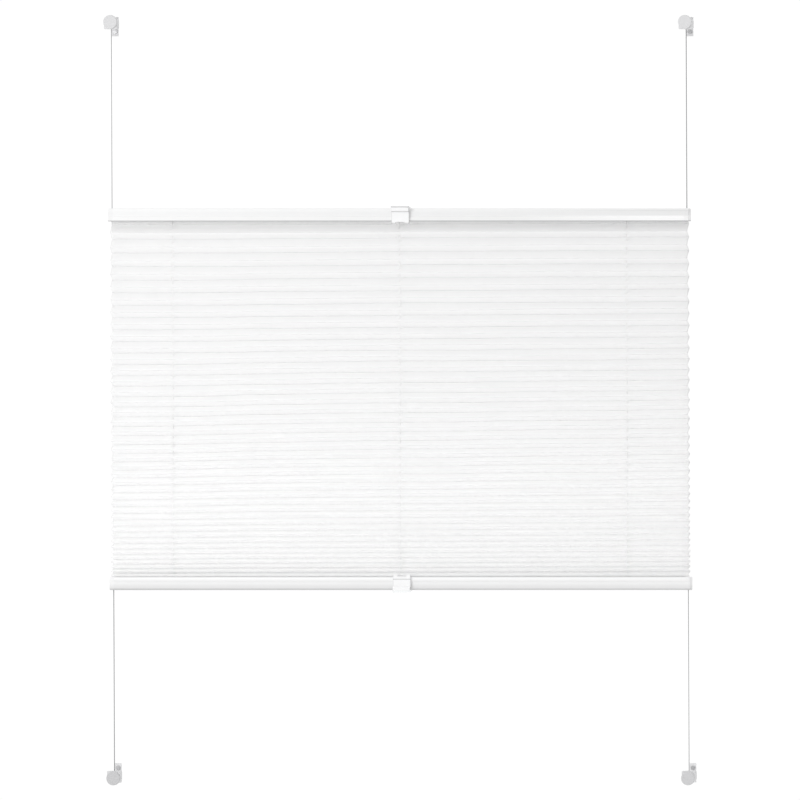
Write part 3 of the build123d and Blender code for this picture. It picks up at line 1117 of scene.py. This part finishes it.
    def centre(self) -> None:
        """Builds the runs of the centre cord, from the top right shoe to the bottom left one."""
        name, y, pair_y, lane = "centre_cord", self.plane, self.plane + self.pair, self.plane + self.centre_offset
        over = [(self.edge_x, pair_y, self.anchor_z), (self.edge_x, pair_y, self.top_out)]
        in_top = [
            over[1],
            (self.edge_x, pair_y, self.top_run_z),
            (self.edge_x - self.top_lead, lane, self.top_run_z),
            (self.near_lead, lane, self.top_run_z),
            (0.0, y, self.top_run_z),
            (0.0, y, self.top_in),
        ]
        in_bottom = [
            (0.0, y, self.bottom_in),
            (0.0, y, self.centre_run_z),
            (-self.guide_x - self.far_lead, y, self.centre_run_z),
            (-self.edge_x, pair_y, self.centre_run_z),
            (-self.edge_x, pair_y, self.centre_out),
        ]
        under = [(-self.edge_x, pair_y, -self.anchor_z), in_bottom[-1]]
        self.run(f"{name}_over_top_rail", over, Body.TOP, name)
        self.run(f"{name}_in_top_rail", in_top, Body.TOP, name, self.inner_corner)
        self.through_sheet(name, 0.0, name)
        self.run(f"{name}_in_bottom_rail", in_bottom, Body.BOTTOM, name, self.low_corner)
        self.run(f"{name}_under_bottom_rail", under, Body.BOTTOM, name)

    def build(self) -> None:
        """Builds every run of the three cords."""
        self.outer("left")
        self.outer("right")
        self.centre()


# ------------------------------------------------------------------ rails and fittings


@dataclass
class Fittings:
    """CAD nodes that keep their shape and get their finish here.

    Attributes:
        ends: names of the upper and the lower end.
        sides: names of the two sides.
    """

    ends: tuple[str, ...] = ("top", "bottom")
    sides: tuple[str, ...] = ("left", "right")

    def finishes(self) -> dict[str, Moulded | ClearPlastic]:
        """The finishes of the rails and fittings.

        The rails and caps carry painted shade and light. The top rail's front has a painted shadow line along its
        lower edge and is palest near its upper edge, and at its right end its lower lip has a painted highlight. The
        bottom rail's front has a painted highlight along its upper lip and darkens towards its lower edge, and it and
        the caps darken to the left. The shoes, discs and brackets darken to the left too, and the lower discs are
        darker and the lower brackets paler than the upper ones: painted shade and light.

        Returns:
            Each finish by its name.
        """
        # Painted shade and light over the rails' height, from the lower edge up: a dark line at the lower edge, paler
        # towards the top.
        lip_and_face_painted_shade = ((0.10, 0.92), (0.2, 0.93), (0.64, 0.905), (0.83, 0.935), (0.95, 0.975))
        lip_painted_highlight = ((0.045, 0.54), (0.105, 1.0), (0.40, 1.0))
        face_painted_shade = ((0.47, 0.91), (0.75, 0.90), (0.8, 0.85), (0.88, 0.86), (0.95, 1.0))
        high = {
            "stops": ((0.0, 0.5), (0.04, 0.56), *lip_and_face_painted_shade),
            "right_stops": ((0.0, 0.5), *lip_painted_highlight, *face_painted_shade),
            "low": 300 * MM,
            "high": 322 * MM,
        }
        low = {
            "stops": ((0.0, 0.72), (0.08, 0.68), (0.14, 0.85), (0.35, 0.92), (0.5, 0.985), (0.75, 0.985), (0.84, 1.0)),
            "low": -319 * MM,
            "high": -297 * MM,
        }
        # Painted highlights along the lips, given off as a glow.
        high_painted_highlight = ((0.0, 0.0), (0.08, 0.0), (0.12, 1.0), (0.40, 1.0), (0.46, 0.0))
        low_painted_highlight = ((0.0, 0.0), (0.76, 0.0), (0.82, 1.0), (0.92, 1.0), (0.96, 0.0))
        powder = {"tone": (0.995, 0.998, 1.0), "roughness": 0.38, "grain_mm": 0.5, "grain_depth_mm": 0.008}
        cap = {"tone": (0.99, 0.99, 0.995), "roughness": 0.42}
        # The bottom rail and the caps also darken to the left: painted shade.
        made = {
            "high_rail": PaintedShadeCoat("painted_light_powder_coat", painted_highlight_stops=high_painted_highlight, **high, **powder),
            "low_rail": PaintedShadeCoat("painted_light_low_coat", painted_highlight_stops=low_painted_highlight, left_loss=0.09, **low, **powder),
            "high_cap": PaintedShadeCoat("high_cap_painted_shade", left_loss=0.03, **high, **cap),
            "low_cap": PaintedShadeCoat("low_cap_painted_shade", left_loss=0.06, **low, **cap),
            "handle": ClearPlastic("clear_handle", (0.985, 0.985, 0.99)),
            "steel": Moulded("zinc_steel", (0.62, 0.62, 0.63), roughness=0.35, metallic=1.0),
            "hidden": Moulded("plain_nylon", (0.84, 0.84, 0.84), roughness=0.55),
        }
        # Lit and shaded copies: the lower discs are darker and the lower brackets paler than the upper ones, and all
        # darken to the left: painted shade and light.
        for name, grey, left_loss in (
            ("shoe", 0.79, 0.07),
            ("disc", 0.79, 0.12),
            ("painted_shade_low_disc", 0.70, 0.15),
            ("bracket", 0.77, 0.06),
            ("painted_light_low_bracket", 0.90, 0.12),
        ):
            tone = (grey, grey, grey + 0.01)
            made[name] = PaintedShadeCoat(f"{name}_plastic", tone, 0.48, grain_depth_mm=0.003, left_loss=left_loss)
        return made

    def corner_nodes(self, kind: str, ends: Sequence[str]) -> list[str]:
        """The CAD nodes of one kind at the corners of the given ends."""
        return [f"{end}_{side}_{kind}" for end in ends for side in self.sides]

    def dress_all(self) -> None:
        """Builds the finishes, and gives each CAD node that stays its own."""
        top, bottom = self.ends[:1], self.ends[1:]
        guides = [f"{end}_{place}_cord_guide" for end in self.ends for place in ("left", "centre", "right")]
        nodes = {
            "high_rail": ["top_rail"],
            "low_rail": ["bottom_rail"],
            "high_cap": self.corner_nodes("end_cap", top),
            "low_cap": self.corner_nodes("end_cap", bottom),
            "handle": ["top_handle", "bottom_handle"],
            "shoe": self.corner_nodes("tension_shoe", self.ends),
            "disc": self.corner_nodes("cover_disc", top),
            "painted_shade_low_disc": self.corner_nodes("cover_disc", bottom),
            "bracket": self.corner_nodes("clamp_bracket", top),
            "painted_light_low_bracket": self.corner_nodes("clamp_bracket", bottom),
            "steel": ["clamp_screws", "left_tension_spring", "right_tension_spring"],
            "hidden": ["top_fabric_strip", "bottom_fabric_strip", *guides],
        }
        for finish, look in self.finishes().items():
            material = look.build()
            for name in nodes[finish]:
                dress(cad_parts[name], material)
            log.info("%s: %d CAD nodes dressed", finish, len(nodes[finish]))


# ------------------------------------------------------------------ studio


@dataclass
class Studio:
    """Camera, lights, pale floor and white surroundings.

    Attributes:
        turn: how far the camera stands to the right, in degrees.
        height: how far above level it stands, in degrees.
        roll: how far it leans, in degrees.
        view_width: what the view takes in, in metres.
        aim: the point in the middle of the view.
        distance: how far the camera stands from it.
        bounces: how often light is thrown on: in all, by dull faces, and through the cloth.
        white: strength of the white all round.
        lamps: name, place, side and power of each square soft light.
        floor_z: height of the floor.
        floor_half: half of its side.
        wall_y: how far behind the blind the wall stands.
        wall_half: half of its width, and its height.
    """

    turn: float = 13.0
    height: float = 1.0
    roll: float = -0.24
    view_width: float = 1.3428
    aim: tuple[float, float, float] = (-0.0004, -0.0120, 0.0)
    distance: float = 4.0
    bounces: tuple[int, int, int] = (36, 32, 32)
    white: float = 0.588
    lamps: tuple[tuple[str, tuple[float, float, float], float, float], ...] = (
        ("key_left", (-2.2, -2.6, 0.7), 1.6, 34.0),
        ("overhead", (-0.6, -1.8, 3.0), 3.0, 20.0),
        ("fill_right", (2.6, -2.0, 0.3), 1.6, 1.0),
    )
    floor_z: float = -0.95
    floor_half: float = 12.0
    wall_y: float = 6.0
    wall_half: float = 24.0

    def camera(self) -> None:
        """Makes the level camera, which stands to the right of the blind and takes it in without perspective."""
        data = bpy.data.cameras.new("camera")
        data.type = "ORTHO"
        data.ortho_scale = self.view_width
        data.clip_end = 50.0
        eye = bpy.data.objects.new("camera", data)
        bpy.context.scene.collection.objects.link(eye)
        a, e = math.radians(self.turn), math.radians(self.height)
        back = Vector((math.sin(a) * math.cos(e), -math.cos(a) * math.cos(e), math.sin(e)))
        eye.location = Vector(self.aim) + back * self.distance
        eye.rotation_mode = "QUATERNION"
        lean = Quaternion((0, 0, 1), math.radians(self.roll))
        eye.rotation_quaternion = (-back).to_track_quat("-Z", "Y") @ lean
        bpy.context.scene.camera = eye

    def lamp(self, name: str, place: Sequence[float], size: float, power: float) -> None:
        """A square soft light that faces the middle of the blind.

        Args:
            name: the light's name.
            place: where it stands.
            size: side of the square, in metres.
            power: its power in watts.
        """
        data = bpy.data.lights.new(name, "AREA")
        data.size = size
        data.energy = power
        lamp = bpy.data.objects.new(name, data)
        lamp.location = place
        lamp.rotation_mode = "QUATERNION"
        lamp.rotation_quaternion = (-Vector(place)).to_track_quat("-Z", "Y")
        bpy.context.scene.collection.objects.link(lamp)

    def plane(self, name: str, corners: Sequence[Sequence[float]], finish: Moulded | LitWall) -> None:
        """A flat piece of the stage.

        Args:
            name: its name.
            corners: its four corners, in the order that turns its face to the blind.
            finish: its finish.
        """
        stage = new_mesh(name, np.array(corners), np.array([[0, 1, 2, 3]]))
        dress(stage, finish.build())

    def build(self) -> None:
        """Sets up the camera, the lights, the floor and the white surroundings."""
        self.camera()
        scene = bpy.context.scene
        cycles = scene.cycles
        cycles.max_bounces, cycles.diffuse_bounces, cycles.transmission_bounces = self.bounces
        scene.world = bpy.data.worlds.new("white")
        scene.world.use_nodes = True
        around = scene.world.node_tree.nodes["Background"]
        around.inputs["Color"].default_value = (*WHITE, 1.0)
        around.inputs["Strength"].default_value = self.white
        scene.view_settings.view_transform = "Standard"
        for name, place, size, power in self.lamps:
            self.lamp(name, place, size, power)
        paint = Moulded("floor_paint", (0.93, 0.93, 0.93), roughness=0.8, grain_mm=4.0, grain_depth_mm=0.05)
        a, z = self.floor_half, self.floor_z
        self.plane("floor", [(-a, -a, z), (a, -a, z), (a, a, z), (-a, a, z)], paint)
        a, y = self.wall_half, self.wall_y
        self.plane("backdrop", [(-a, y, z), (a, y, z), (a, y, a), (-a, y, a)], LitWall("lit_wall"))


def main() -> None:
    """Builds the blind's looks in order. Each class reports its pieces."""
    Studio().build()
    Fittings().dress_all()
    sheet = FoldedSheet()
    sheet.build(PleatCloth("pleat_cloth", (0.985, 0.985, 0.985)).build())
    cord = Braid("cord_braid", (0.42, 0.42, 0.43), (0.34, 0.34, 0.35)).build()
    # A paler copy of the braid: painted light for the runs between the folds.
    pale = Braid("cord_painted_paler_between_folds", (0.98, 0.98, 0.98), (0.93, 0.93, 0.93)).build()
    Cords(cord, pale, sheet.still_height()).build()


if __name__ == "__main__":
    main()
